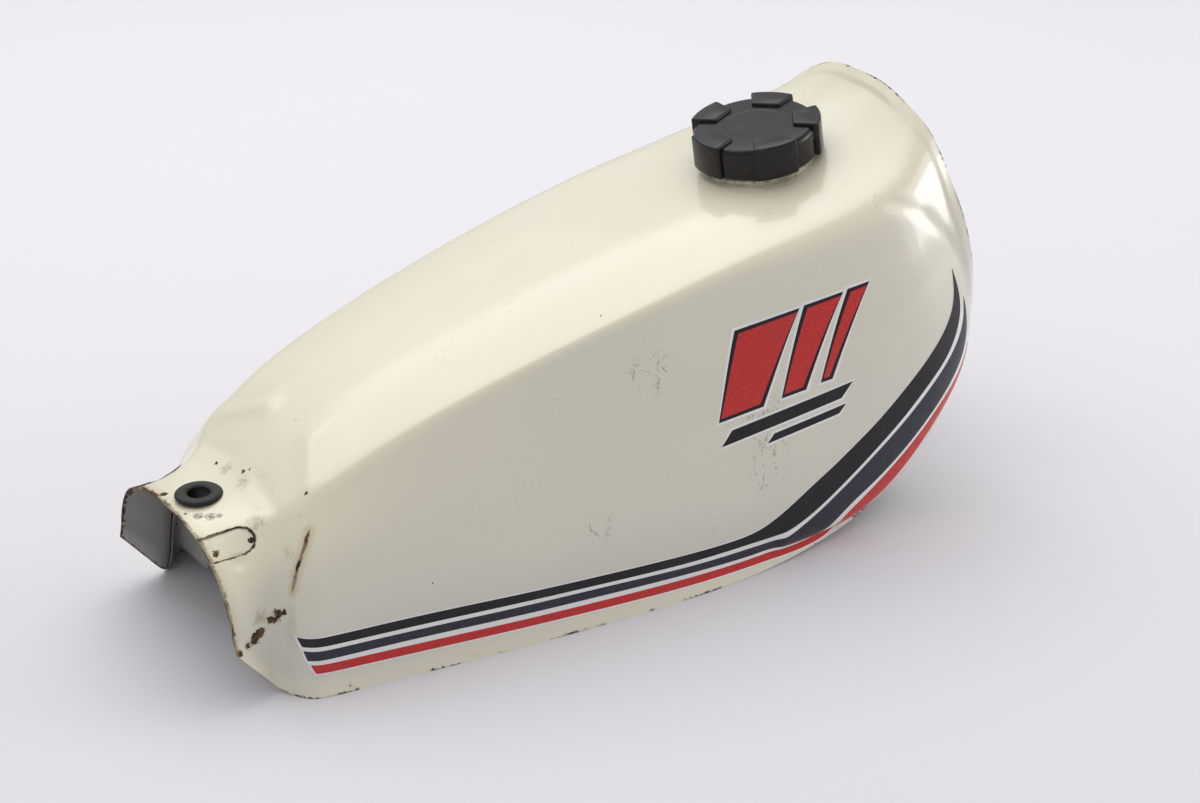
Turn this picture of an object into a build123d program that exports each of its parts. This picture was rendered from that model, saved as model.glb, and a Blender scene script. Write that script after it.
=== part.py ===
from build123d import *
import os
import numpy as np

# Driving dimensions, in millimetres. +X is forward, +Y left, +Z up, and z = 0 at the seam lips.
sheet = 0.9
weld_gap = 0.5
seam_gap = 1.0

# Sections of the outer skin, one per row, from the rear edge to the front rim. Each gives
# x on the crown, forward lean, crown height, ridge (y, z), how tight the shoulder is,
# and the (y, z) of the waist, the hip and the seam lip.
skin_sections = [
    (-244, 0.00, 84, (33, 81), 0.30, (58, 68), (67, 50), (73, 31)),
    (-234, 0.02, 84, (34, 81), 0.30, (58, 67), (67, 46), (73, 20)),
    (-222, 0.05, 85, (37, 83), 0.30, (59, 66), (66, 40), (72, 8)),
    (-212, 0.09, 86.5, (42, 84.5), 0.30, (60, 67), (66, 36), (72, 0)),
    (-203, 0.13, 91, (48, 90), 0.30, (69, 70), (78, 36), (82, 0)),
    (-193, 0.16, 99, (53, 97), 0.30, (74, 74), (84, 37), (88, 0)),
    (-180, 0.18, 109, (58, 105), 0.30, (77, 78), (86, 38), (90, 0)),
    (-158, 0.16, 123, (63, 117), 0.25, (80, 80), (89, 40), (93, 0)),
    (-118, 0.10, 139, (67, 132), 0.15, (84, 86), (95, 42), (100, 0)),
    (-58, 0.05, 156, (72, 149), 0.12, (89, 96), (103, 46), (109, 0)),
    (2, 0.02, 170, (77, 163), 0.12, (94, 106), (110, 46), (116, 0)),
    (62, 0.00, 182, (80, 176), 0.18, (100, 112), (115.5, 34), (116, 0)),
    (112, 0.00, 190, (83, 183), 0.30, (104, 116), (121, 16), (108, 2.5)),
    (152, -0.05, 196, (84, 190), 0.35, (106, 118), (119.5, 25), (97, 9)),
    (180, -0.11, 207, (79, 196), 0.40, (102, 124), (112.5, 53), (78, 37)),
    (198, -0.18, 220, (69, 206), 0.45, (89, 138), (101.5, 79), (71, 57)),
    (208, -0.22, 233, (60, 214), 0.45, (86, 154), (80, 104), (64, 71)),
]
last_section = len(skin_sections) - 1
lip_rise, full_flare = (-4, 9), 24
crown_fullness = 0.38

# Frame tunnel pressed into the pan
tunnel_half_width = 43
tunnel_roof_rear = 70
tunnel_roof_slope = 0.126
tunnel_rear_x = -200
floor_height = 10
pan_rear, pan_front = 3.25, 15.75
pan_side = 0.985
rear_wall = (3.7, 5.2)
front_wall = (13.6, 15.4)
flange_turn, flange_lean, flange_rise = 5, 2.2, 5

# Rear saddle
bracket_sheet = 1.6
bracket_gap = 0.15
bracket_span = (0.1, 3.0)
bracket_side = 0.56
grommet_x = -226.5
grommet_hole = 9
grommet_radius = 13
grommet_bore = 6
grommet_flange = 3
grommet_fillet = 1.3
groove_side, groove_span, groove_gap = 0.35, (0.2, 3.2), 0.05
slot_radius, slot_length = 7.5, 30
slot_end = (-224.5, 42, 77.5)
slot_normal = (0, 0.75, 0.66)

# Filler: heights run down the axis from the top of the cap
filler_at = (131.2, 0, 218)
filler_pitch = -9
neck_bore = 27
neck_tube = 28.6
neck_thread = 30.2
neck_rim = -9
thread_end = -21
neck_end = -42
collar_radius = 33
collar_top, collar_base, collar_chamfer = -21.6, -34, 1.2
collar_side, collar_span = 0.36, (10.6, 14.6)
fit_gap = 0.1

# Cap
cap_radius = 35.5
lobe_radius = 38
lobe_root = 22
lobe_angle = 40
lobe_count = 5
first_lobe = 36
cap_face = -1.6
cap_skirt = -20
cap_ceiling = -3
cap_thread = 30.25
cap_fillet = 2.5
shoulder_radius, shoulder_end = 8, -4.95
post_radius, post_end = 5, -6.6
liner_radius, liner_top, liner_bottom = 29.5, -5, -6.5
liner_hole = 5.05
gasket_inner, gasket_outer = 24, 29.3
washer_radius, washer_thickness = 9, 0.8
screw_radius, screw_hole, screw_head, screw_head_height = 1.45, 1.5, 3.5, 1.7
screw_tip, screw_end_gap, screw_fillet = -2.6, 0.4, 0.8
screw_slot_width, screw_slot_depth = 0.9, 0.7
valve_at = 15
valve_stem, valve_hole, valve_head = 2.45, 2.5, 3.5
valve_top, valve_bottom = -4.2, -7.5

# Fuel tap pad, over the left floor
tap_at = (-38, 74)
tap_plate_size, tap_plate_corner = (50, 26, 3), 6
tap_bore = 10
tap_screw_pitch = 34
tap_screw_hole = 2.5
pan_bore, pan_screw_hole = 10.5, 3.3
plate_gap = 0.08

# Front slides, on the tunnel walls
slide_at = (152, 67)
slide_inner, slide_thickness, slide_depth = 14.5, 1.5, 12
slide_arm = 20
slide_flange = 5

# Vinyl films: height of a film's underside above the steel, and its thickness
film_lift, film_thickness, stripe_lift = 0.15, 0.15, 0.4

# Heights of the stripe edges down each side: x, then black, blue and red, top and bottom
stripe_rows = [
    (-210, 33, 28, 25.5, 20, 17.5, 12.5),
    (-145, 32.5, 27, 24.5, 19.5, 16, 11),
    (-90, 29.5, 24.5, 22, 17, 14, 9.5),
    (-38, 28, 23, 21, 16, 13, 8.5),
    (17, 25.5, 20, 17.5, 13.5, 11, 6.5),
    (50, 25, 20, 17, 11.5, 9.5, 5.5),
    (64, 29.5, 19.5, 16.5, 11.5, 9.5, 5),
    (78, 36.5, 20.5, 17, 10, 8, 4),
    (92, 44.5, 27, 24, 10, 7.5, 3.5),
    (106, 51.5, 35, 32.5, 16, 11.5, 4.5),
    (122, 60.5, 44.5, 42, 26.5, 22.5, 11),
    (140, 70.5, 55.5, 53, 35.5, 33, 21.5),
    (160, 84, 68, 65, 47.5, 45, 36),
    (182, 98.5, 83.5, 80, 62.5, 60, 53),
    (200, 112, 94.5, 91.5, 75, 72, 67),
]
# Each stripe's pointed front end, as (x, z) pairs along its top and bottom edges
stripe_tips = {
    "black": [((208, 124), (216, 115)), ((208, 140), (210, 136))],
    "blue": [((215, 105), (221, 94)), ((217, 121), (219, 115))],
    "red": [((213, 81), (213, 76)), ((220, 91.5), (221, 88))],
}
flash_corners = [(28, 138), (140, 150), (135, 82), (35, 70)]

# How closely the fitted surfaces follow their points, and how many points each is given
sheet_tolerance, pan_tolerance, film_tolerance = 0.04, 0.08, 0.01
skin_grid = (41, 24)
pan_rows, pan_wall_margin, pan_columns = (16, 22, 18), 0.3, 41
bracket_grid = (14, 41)
groove_grid = (14, 21)
collar_grid = (16, 25)
film_length_steps, stripe_width_steps, backing_width_steps = 80, 5, 13
flash_grid = (16, 12)

# Length of a tool that cuts right through one sheet, and of one that cuts through several
short_cut, long_cut = 12, 40


def spline_weights(u):
    # Weights of the four control points around a span of a uniform cubic B-spline
    parts = [(1 - u) ** 3, 3 * u**3 - 6 * u**2 + 4, -3 * u**3 + 3 * u**2 + 3 * u + 1, u**3]
    return np.stack(parts, axis=-1) / 6


def padded_net(rows):
    # Rows run rear to front, and columns from the centre line, which they mirror, to the lip
    net = np.array(rows, float)
    mirrored = net[:, 1:2] * [1, -1, 1]
    beyond = 2 * net[:, -1:] - net[:, -2:-1]
    net = np.concatenate([mirrored, net, beyond], axis=1)
    return np.concatenate([2 * net[:1] - net[1:2], net, 2 * net[-1:] - net[-2:-1]])


def net_point(net, t, s):
    # t is 0 at the rear edge and 1 at the rim; s is 0 on the crown and 1 or -1 at a lip
    t, s = np.broadcast_arrays(np.asarray(t, float), np.asarray(s, float))
    rows, columns = net.shape[0] - 3, net.shape[1] - 3
    i = np.minimum((t * rows).astype(int), rows - 1)
    j = np.minimum((np.abs(s) * columns).astype(int), columns - 1)
    across = spline_weights(t * rows - i)
    along = spline_weights(np.abs(s) * columns - j)
    near = net[i[..., None, None] + np.arange(4)[:, None], j[..., None, None] + np.arange(4)]
    point = np.einsum("...a,...b,...abc->...c", across, along, near)
    point[..., 1] *= np.where(s < 0, -1, 1)
    return point


def leaned(section, outline):
    x, lean, crown = section[:3]
    return [(x - lean * (crown - z), y, z) for y, z in outline]


def skin_outline(section):
    crown, ridge, tight = section[2], np.array(section[3]), section[4]
    waist, hip, lip = np.array(section[5]), np.array(section[6]), np.array(section[7])
    crown_side = np.array([crown_fullness * ridge[0], crown])
    above_ridge = ridge + (crown_side - ridge) * tight
    below_ridge = ridge + (waist - ridge) * tight
    flare = lip + np.array(lip_rise) * min(1, (hip[1] - lip[1]) / full_flare)
    tuck = flare + (hip - flare) * 0.3
    return [(0, crown), crown_side, above_ridge, ridge, below_ridge, waist, hip, tuck, flare, lip]


def tunnel_outline(section):
    # Roof, wall, floor and the flange that lies against the skin's lip
    lip_y, lip_z = section[7]
    half = tunnel_half_width
    roof = tunnel_roof_rear + tunnel_roof_slope * (section[0] - tunnel_rear_x)
    floor = lip_z + floor_height
    flange = lip_y - sheet - seam_gap
    turn = flange - flange_turn
    middle = [(half + (turn - half) * share, floor) for share in (0.25, 0.5, 0.75)]
    roof_line = [(0, roof), (0.35 * half, roof), (0.7 * half, roof), (half, roof)]
    wall = [(half, roof + (floor - roof) * share) for share in (1 / 3, 2 / 3, 1)]
    edge = [(turn, floor), (flange - flange_lean, lip_z + flange_rise), (flange, lip_z)]
    return roof_line + wall + middle + edge


skin_net = padded_net([leaned(section, skin_outline(section)) for section in skin_sections])
tunnel_net = padded_net([leaned(section, tunnel_outline(section)) for section in skin_sections])


def skin(t, s):
    return net_point(skin_net, t, s)


def directions(surface, t, s):
    # Unit vectors forward, down the section, and inward through the sheet
    step = 1e-4
    forward = surface(np.minimum(t + step, 1), s) - surface(np.maximum(t - step, 0), s)
    down = surface(t, np.minimum(s + step, 1)) - surface(t, np.maximum(s - step, -1))
    inward = np.cross(down, forward)
    down = down / np.linalg.norm(down, axis=-1, keepdims=True)
    return down, inward / np.linalg.norm(inward, axis=-1, keepdims=True)


def offset_grid(surface, t, s, depth):
    # A parallel surface, cut square at the lips so that both faces end at one height
    t, s = np.meshgrid(t, s, indexing="ij")
    down, inward = directions(surface, t, s)
    at_lip = (np.abs(s) == 1)[..., None]
    slide = np.where(at_lip, -inward[..., 2:] / np.where(at_lip, down[..., 2:], 1), 0)
    grid = surface(t, s) + depth * (inward + slide * down)
    grid[s == 0, 1] = 0
    return grid


def solid_between(upper, lower, tolerance):
    faces = []
    for grid in (upper, lower):
        rows = [[Vector(*point) for point in row] for row in grid.tolist()]
        faces.append(Face.make_surface_from_array_of_points(rows, tol=tolerance, min_deg=3, max_deg=3))
    for edge in faces[0].edges():
        middle = edge.position_at(0.5)
        partner = min(faces[1].edges(), key=lambda other: (other.position_at(0.5) - middle).length)
        faces.append(Face.make_surface_from_curves(edge, partner))
    return Solid(Shell(faces))


def sheet_solid(surface, t, s, depth, thickness, tolerance=sheet_tolerance):
    upper = offset_grid(surface, t, s, depth)
    lower = offset_grid(surface, t, s, depth + thickness)
    return solid_between(upper, lower, tolerance)


def section_range(first, last, count):
    return np.linspace(first, last, count) / last_section


def left(shape):
    return mirror(shape, about=Plane.XZ)


def rod(radius, low, high):
    return Pos(0, 0, (low + high) / 2) * Cylinder(radius, high - low)


def tube(outer, inner, low, high):
    return rod(outer, low, high) - rod(inner, low - 1, high + 1)


def turned(outline, angle=360):
    face = make_face(Polyline([(r, 0, z) for r, z in outline], close=True))
    return revolve(face, Axis.Z, angle)


def on_filler(shape):
    return Pos(*filler_at) * Rot(0, filler_pitch, 0) * shape


def outer_skin():
    # The left half, which the right half mirrors
    rows, columns = skin_grid
    half = sheet_solid(skin, section_range(0, last_section, rows), np.linspace(0, 1, columns), 0, sheet)
    half -= on_filler(rod(neck_tube + fit_gap, neck_end, 0))
    half -= Pos(grommet_x, 0, skin_crown(grommet_x)) * Cylinder(grommet_hole, short_cut)
    plane = Plane(origin=slot_end, x_dir=(1, 0, 0), z_dir=slot_normal)
    slot = Cylinder(slot_radius, short_cut)
    slot += Pos(-slot_length / 2, 0, 0) * Box(slot_length, 2 * slot_radius, short_cut)
    return half - plane * slot


def skin_crown(x):
    t = np.linspace(0, 1, 400)
    crown = skin(t, 0 * t)
    return float(np.interp(x, crown[:, 0], crown[:, 2]))


def ramp(value, first, last):
    share = np.clip((value - first) / (last - first), 0, 1)
    return share * share * (3 - 2 * share)


def pan_surface(t, s):
    # The fuel side of the pan: a flange inside the skin at both ends, and the tunnel between
    row = np.asarray(t) * last_section
    share = (ramp(row, *rear_wall) * (1 - ramp(row, *front_wall)))[..., None]
    flange = skin(t, s) + (sheet + weld_gap) * directions(skin, t, s)[1]
    return flange * (1 - share) + net_point(tunnel_net, t, s) * share


def tunnel_pan():
    breaks = [pan_rear, rear_wall[1] + pan_wall_margin, front_wall[0] - pan_wall_margin, pan_front]
    spans = [section_range(*ends) for ends in zip(breaks, breaks[1:], pan_rows)]
    t = np.unique(np.concatenate(spans).round(9))
    pan = sheet_solid(pan_surface, t, np.linspace(-pan_side, pan_side, pan_columns), 0, sheet, pan_tolerance)
    pan -= Pos(*tap_at, floor_height) * Cylinder(pan_bore, short_cut)
    return pan - tap_screw_holes(pan_screw_hole)


def tap_screw_holes(radius):
    x, y = tap_at
    ends = (x - tap_screw_pitch / 2, x + tap_screw_pitch / 2)
    return [Pos(end, y, floor_height) * Cylinder(radius, short_cut) for end in ends]


def tap_plate():
    length, width, thickness = tap_plate_size
    middle = floor_height + plate_gap + thickness / 2
    plate = Pos(*tap_at, middle) * Box(length, width, thickness)
    plate = fillet(plate.edges().filter_by(Axis.Z), tap_plate_corner)
    plate -= Pos(*tap_at, middle) * Cylinder(tap_bore, 2 * thickness)
    return plate - tap_screw_holes(tap_screw_hole)


def rear_saddle_bracket():
    rows, columns = bracket_grid
    side = np.linspace(-bracket_side, bracket_side, columns)
    t = section_range(*bracket_span, rows)
    bracket = sheet_solid(skin, t, side, sheet + bracket_gap, bracket_sheet)
    return bracket - Pos(grommet_x, 0, skin_crown(grommet_x)) * Cylinder(grommet_hole, short_cut)


def rear_grommet():
    top = skin_crown(grommet_x) + grommet_flange
    grip = sheet + bracket_gap + bracket_sheet
    middle = Pos(grommet_x, 0, top - grommet_flange - grip / 2)
    ring = Cylinder(grommet_radius, grip + 2 * grommet_flange) - Cylinder(grommet_bore, long_cut)
    ring = fillet(ring.edges().filter_by(GeomType.CIRCLE), grommet_fillet)
    rows, columns = groove_grid
    side = np.linspace(-groove_side, groove_side, columns)
    groove = sheet_solid(skin, section_range(*groove_span, rows), side, -groove_gap, grip + 2 * groove_gap)
    return middle * ring - (groove - middle * Cylinder(grommet_hole - groove_gap, long_cut))


def front_slide():
    # A horseshoe rail that opens forward, with a flange against the left tunnel wall
    outer = slide_inner + slide_thickness
    wall = tunnel_half_width - sheet - plate_gap

    def horseshoe(radius, depth):
        return Cylinder(radius, depth) + Pos(slide_arm / 2, 0, 0) * Box(slide_arm, 2 * radius, depth)

    opening = horseshoe(slide_inner, long_cut)
    opening += Pos(slide_arm, 0, 0) * Box(2 * slide_flange, 2 * slide_inner, long_cut)
    rail = horseshoe(outer, slide_depth) - opening
    flange = Pos(0, 0, (slide_depth - slide_thickness) / 2) * horseshoe(outer + slide_flange, slide_thickness)
    middle = (slide_at[0], wall - slide_depth / 2, slide_at[1])
    plane = Plane(origin=middle, x_dir=(1, 0, 0), z_dir=(0, 1, 0))
    return plane * (rail + (flange - opening))


def filler_neck():
    return on_filler(
        turned(
            [
                (neck_bore, neck_end),
                (neck_tube, neck_end),
                (neck_tube, thread_end),
                (neck_thread, thread_end),
                (neck_thread, neck_rim),
                (neck_bore, neck_rim),
            ]
        )
    )


def neck_collar():
    bore = neck_tube + fit_gap
    ring = turned(
        [
            (bore, collar_top),
            (collar_radius - collar_chamfer, collar_top),
            (collar_radius, collar_top - collar_chamfer),
            (collar_radius, collar_base),
            (bore, collar_base),
        ]
    )
    rows, columns = collar_grid
    side = np.linspace(-collar_side, collar_side, columns)
    below = sheet_solid(skin, section_range(*collar_span, rows), side, -groove_gap, long_cut / 2)
    return on_filler(ring) - below


def cap_shell():
    body = rod(cap_radius, cap_skirt, cap_face)
    body = fillet(body.edges().group_by(Axis.Z)[-1], cap_fillet)
    corners = [(lobe_root, cap_skirt), (lobe_radius, cap_skirt), (lobe_radius, 0), (lobe_root, 0)]
    lobe = Rot(0, 0, -lobe_angle / 2) * turned(corners, lobe_angle)
    outer_rim = lobe.edges().filter_by(GeomType.CIRCLE).sort_by(Axis.Z)[-2:]
    lobe = fillet(outer_rim.sort_by(SortBy.LENGTH)[-1:], cap_fillet)
    for index in range(lobe_count):
        body += Rot(0, 0, first_lobe + index * 360 / lobe_count) * lobe
    body -= rod(cap_thread, cap_skirt - 1, cap_ceiling)
    body += rod(shoulder_radius, shoulder_end, cap_ceiling)
    body += rod(post_radius, post_end, cap_ceiling)
    return on_filler(body - rod(screw_hole, post_end - 1, screw_tip + screw_end_gap))


def cap_liner_disc():
    disc = tube(liner_radius, liner_hole, liner_bottom, liner_top)
    return on_filler(disc - Pos(valve_at, 0, 0) * Cylinder(valve_hole, long_cut))


def vent_valve():
    head = rod(valve_head, liner_top, valve_top)
    stem = rod(valve_stem, liner_bottom, liner_top)
    foot = rod(valve_head, valve_bottom, liner_bottom)
    return on_filler(Pos(valve_at, 0, 0) * (head + stem + foot))


def cap_gasket():
    return on_filler(tube(gasket_outer, gasket_inner, neck_rim, liner_bottom))


def cap_retainer_washer():
    return on_filler(tube(washer_radius, screw_hole, post_end - washer_thickness, post_end))


def cap_screw():
    head_top = post_end - washer_thickness
    head = rod(screw_head, head_top - screw_head_height, head_top)
    head = fillet(head.edges().group_by(Axis.Z)[0], screw_fillet)
    slot = Box(2 * screw_head, screw_slot_width, 2 * screw_slot_depth)
    slot = Pos(0, 0, head_top - screw_head_height) * slot
    return on_filler(head - slot + rod(screw_radius, head_top, screw_tip))


# Parameters of the points that the search for a place on the skin's side starts from
scan_t, scan_s = np.meshgrid(np.linspace(0.1, 1, 90), np.linspace(0.42, 1, 60), indexing="ij")
scan_points = skin(scan_t, scan_s)


def skin_place(x, z):
    # Parameters of the points on the skin's side at these lengths and heights
    gap = (scan_points[..., 0] - x[:, None, None]) ** 2 + (scan_points[..., 2] - z[:, None, None]) ** 2
    start = gap.reshape(len(x), -1).argmin(axis=1)
    t, s = scan_t.ravel()[start], scan_s.ravel()[start]
    step = 1e-4
    for _ in range(8):
        here = skin(t, s)
        by_t = (skin(np.minimum(t + step, 1), s) - skin(t - step, s)) / (2 * step)
        by_s = (skin(t, np.minimum(s + step, 1)) - skin(t, s - step)) / (2 * step)
        miss_x, miss_z = x - here[:, 0], z - here[:, 2]
        scale = by_t[:, 0] * by_s[:, 2] - by_t[:, 2] * by_s[:, 0]
        t = np.clip(t + (miss_x * by_s[:, 2] - miss_z * by_s[:, 0]) / scale, step, 1 - step)
        s = np.clip(s + (miss_z * by_t[:, 0] - miss_x * by_t[:, 2]) / scale, step, 1 - step)
    return t, s


def smooth_edge(corners, count):
    # A cubic B-spline led by the corners, at even steps of its length
    points = np.array(corners, float)
    points = np.concatenate([[2 * points[0] - points[1]], points, [2 * points[-1] - points[-2]]])
    spans = len(points) - 3
    u = np.linspace(0, spans, 12 * film_length_steps)
    i = np.minimum(u.astype(int), spans - 1)
    path = np.einsum("na,nac->nc", spline_weights(u - i), points[i[:, None] + np.arange(4)])
    run = np.concatenate([[0], np.cumsum(np.linalg.norm(np.diff(path, axis=0), axis=1))])
    even = np.linspace(0, run[-1], count)
    return np.interp(even, run, path[:, 0]), np.interp(even, run, path[:, 1])


def film(top, bottom, lift, width_steps):
    # A vinyl film on the left side of the skin, between its top and bottom edges
    top_t, top_s = skin_place(*top)
    bottom_t, bottom_s = skin_place(*bottom)
    share = np.linspace(0, 1, width_steps)
    t = top_t[:, None] + (bottom_t - top_t)[:, None] * share
    s = top_s[:, None] + (bottom_s - top_s)[:, None] * share
    inward = directions(skin, t, s)[1]
    place = skin(t, s)
    return solid_between(place - (lift + film_thickness) * inward, place - lift * inward, film_tolerance)


def stripe(top_column, bottom_column, top_tip, bottom_tip, lift, width_steps):
    top = [(row[0], row[top_column]) for row in stripe_rows] + top_tip
    bottom = [(row[0], row[bottom_column]) for row in stripe_rows] + bottom_tip
    edges = [smooth_edge(corners, film_length_steps) for corners in (top, bottom)]
    return film(*edges, lift, width_steps)


def stripes():
    made = {}
    colours = ["black", "blue", "red"]
    for index, colour in enumerate(colours):
        tip = stripe_tips[colour]
        top_tip, bottom_tip = [pair[0] for pair in tip], [pair[1] for pair in tip]
        columns = (1 + 2 * index, 2 + 2 * index)
        made[colour] = stripe(*columns, top_tip, bottom_tip, stripe_lift, stripe_width_steps)
    black_tip = [pair[0] for pair in stripe_tips["black"]]
    red_tip = [pair[1] for pair in stripe_tips["red"]]
    made["backing"] = stripe(1, 6, black_tip, red_tip, film_lift, backing_width_steps)
    return made


def side_flash():
    rear_top, front_top, front_bottom, rear_bottom = flash_corners
    length_steps, width_steps = flash_grid
    steps = np.linspace(0, 1, length_steps)
    top = [rear_top[k] + (front_top[k] - rear_top[k]) * steps for k in (0, 1)]
    bottom = [rear_bottom[k] + (front_bottom[k] - rear_bottom[k]) * steps for k in (0, 1)]
    return film(top, bottom, film_lift, width_steps)


os.makedirs("parts", exist_ok=True)
skin_half = outer_skin()
slide = front_slide()
flash = side_flash()
pieces = {
    "outer_skin_left": skin_half,
    "outer_skin_right": left(skin_half),
    "tunnel_pan": tunnel_pan(),
    "rear_saddle_bracket": rear_saddle_bracket(),
    "rear_grommet": rear_grommet(),
    "front_slide_left": slide,
    "front_slide_right": left(slide),
    "filler_neck": filler_neck(),
    "neck_collar": neck_collar(),
    "tap_plate": tap_plate(),
    "cap_shell": cap_shell(),
    "cap_liner_disc": cap_liner_disc(),
    "cap_gasket": cap_gasket(),
    "cap_retainer_washer": cap_retainer_washer(),
    "cap_screw": cap_screw(),
    "vent_valve": vent_valve(),
    "side_flash_left": flash,
    "side_flash_right": left(flash),
}
for colour, shape in stripes().items():
    pieces[f"stripe_{colour}_left"] = shape
    pieces[f"stripe_{colour}_right"] = left(shape)
for name, shape in pieces.items():
    export_step(shape, f"parts/{name}.step")
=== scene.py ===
import math
import bmesh
import bpy
import numpy as np
from mathutils import Matrix, Vector


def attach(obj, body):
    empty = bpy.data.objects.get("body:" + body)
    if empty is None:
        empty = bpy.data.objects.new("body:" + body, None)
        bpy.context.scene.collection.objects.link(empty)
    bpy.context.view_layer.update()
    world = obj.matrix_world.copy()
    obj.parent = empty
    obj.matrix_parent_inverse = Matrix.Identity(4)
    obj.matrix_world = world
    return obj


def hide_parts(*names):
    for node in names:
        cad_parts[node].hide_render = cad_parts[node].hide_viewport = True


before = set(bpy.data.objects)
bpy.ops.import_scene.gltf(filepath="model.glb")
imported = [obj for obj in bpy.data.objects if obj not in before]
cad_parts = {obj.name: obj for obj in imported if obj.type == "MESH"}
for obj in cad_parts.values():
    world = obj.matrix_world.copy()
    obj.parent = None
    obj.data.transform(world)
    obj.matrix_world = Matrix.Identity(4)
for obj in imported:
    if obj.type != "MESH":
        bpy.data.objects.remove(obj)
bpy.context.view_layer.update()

mm = 0.001
print("frame loaded")


# ---- the tank's surface: a spline net of sections, in millimetres ----
shell = {
    # x on the crown, lean, crown height, ridge (y, z), shoulder tightness, waist, hip and lip (y, z)
    "sections": [
        (-244, 0.00, 84, (33, 81), 0.30, (58, 68), (67, 50), (73, 31)),
        (-234, 0.02, 84, (34, 81), 0.30, (58, 67), (67, 46), (73, 20)),
        (-222, 0.05, 85, (37, 83), 0.30, (59, 66), (66, 40), (72, 8)),
        (-212, 0.09, 86.5, (42, 84.5), 0.30, (60, 67), (66, 36), (72, 0)),
        (-203, 0.13, 91, (48, 90), 0.30, (69, 70), (78, 36), (82, 0)),
        (-193, 0.16, 99, (53, 97), 0.30, (74, 74), (84, 37), (88, 0)),
        (-180, 0.18, 109, (58, 105), 0.30, (77, 78), (86, 38), (90, 0)),
        (-158, 0.16, 123, (63, 117), 0.25, (80, 80), (89, 40), (93, 0)),
        (-118, 0.10, 139, (67, 132), 0.15, (84, 86), (95, 42), (100, 0)),
        (-58, 0.05, 156, (72, 149), 0.12, (89, 96), (103, 46), (109, 0)),
        (2, 0.02, 170, (77, 163), 0.12, (94, 106), (110, 46), (116, 0)),
        (62, 0.00, 182, (80, 176), 0.18, (100, 112), (115.5, 34), (116, 0)),
        (112, 0.00, 190, (83, 183), 0.30, (104, 116), (121, 16), (108, 2.5)),
        (152, -0.05, 196, (84, 190), 0.35, (106, 118), (119.5, 25), (97, 9)),
        (180, -0.11, 207, (79, 196), 0.40, (102, 124), (112.5, 53), (78, 37)),
        (198, -0.18, 220, (69, 206), 0.45, (89, 138), (101.5, 79), (71, 57)),
        (208, -0.22, 233, (60, 214), 0.45, (86, 154), (80, 104), (64, 71)),
    ],
    "lipRise": (-4, 9),
    "fullFlare": 24,
    "crownFullness": 0.38,
    "sheet": 0.9,
    # height, half width and (row, s) path of each pressed line
    "pressings": [
        (2.0, 9, [(6.34, 0.12), (5.63, 0.25), (4.77, 0.50), (4.29, 0.62), (4.20, 0.68)]),
        (-0.5, 5, [(4.28, 0.10), (3.68, 0.38), (3.55, 0.53), (3.43, 0.62), (3.34, 0.70)]),
        (-0.6, 4, [(13.47, 0.346), (14.26, 0.416), (14.88, 0.484), (15.37, 0.559), (15.36, 0.60)]),
        (2.4, 6, [(11.3, 0.80), (11.7, 0.80), (12.1, 0.80), (12.45, 0.81), (12.75, 0.80)]),
    ],
    "dimple": {"at": (-229, 51, 71), "radius": 6.5, "depth": 1.3},
    "rimRoll": {"width": 7, "soft": 2.5, "height": 0.55},
    "slot": {"radius": 7.5, "end": (-224.5, 42, 77.5), "normal": (0, 0.75, 0.66)},
    "grommetHole": 9,
    "neckHole": 28.7,
}
lastRow = len(shell["sections"]) - 1
filler = {"at": (131.2, 0, 218), "pitch": -9}
grommet = {"x": -226.5, "radius": 13, "bore": 6, "neck": 8.9, "grip": 2.65, "flange": 3.1}


def splineWeights(u):
    parts = [(1 - u) ** 3, 3 * u**3 - 6 * u**2 + 4, -3 * u**3 + 3 * u**2 + 3 * u + 1, u**3]
    return np.stack(parts, axis=-1) / 6


def paddedNet(rows):
    net = np.array(rows, float)
    net = np.concatenate([net[:, 1:2] * [1, -1, 1], net, 2 * net[:, -1:] - net[:, -2:-1]], axis=1)
    return np.concatenate([2 * net[:1] - net[1:2], net, 2 * net[-1:] - net[-2:-1]])


def netPoint(net, t, s):
    # t runs from the rear edge to the rim, s from the crown to a lip at 1 or -1
    t, s = np.broadcast_arrays(np.asarray(t, float), np.asarray(s, float))
    rows, columns = net.shape[0] - 3, net.shape[1] - 3
    i = np.minimum((t * rows).astype(int), rows - 1)
    j = np.minimum((np.abs(s) * columns).astype(int), columns - 1)
    across = splineWeights(t * rows - i)
    along = splineWeights(np.abs(s) * columns - j)
    near = net[i[..., None, None] + np.arange(4)[:, None], j[..., None, None] + np.arange(4)]
    point = np.einsum("...a,...b,...abc->...c", across, along, near)
    point[..., 1] *= np.where(s < 0, -1, 1)
    return point


def leaned(section, outline):
    x, lean, crown = section[:3]
    return [(x - lean * (crown - z), y, z) for y, z in outline]


def skinOutline(section):
    crown, ridge, tight = section[2], np.array(section[3]), section[4]
    waist, hip, lip = np.array(section[5]), np.array(section[6]), np.array(section[7])
    crownSide = np.array([shell["crownFullness"] * ridge[0], crown])
    aboveRidge = ridge + (crownSide - ridge) * tight
    belowRidge = ridge + (waist - ridge) * tight
    flare = lip + np.array(shell["lipRise"]) * min(1, (hip[1] - lip[1]) / shell["fullFlare"])
    tuck = flare + (hip - flare) * 0.3
    return [(0, crown), crownSide, aboveRidge, ridge, belowRidge, waist, hip, tuck, flare, lip]


skinNet = paddedNet([leaned(section, skinOutline(section)) for section in shell["sections"]])


def skin(t, s):
    return netPoint(skinNet, t, s)


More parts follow.
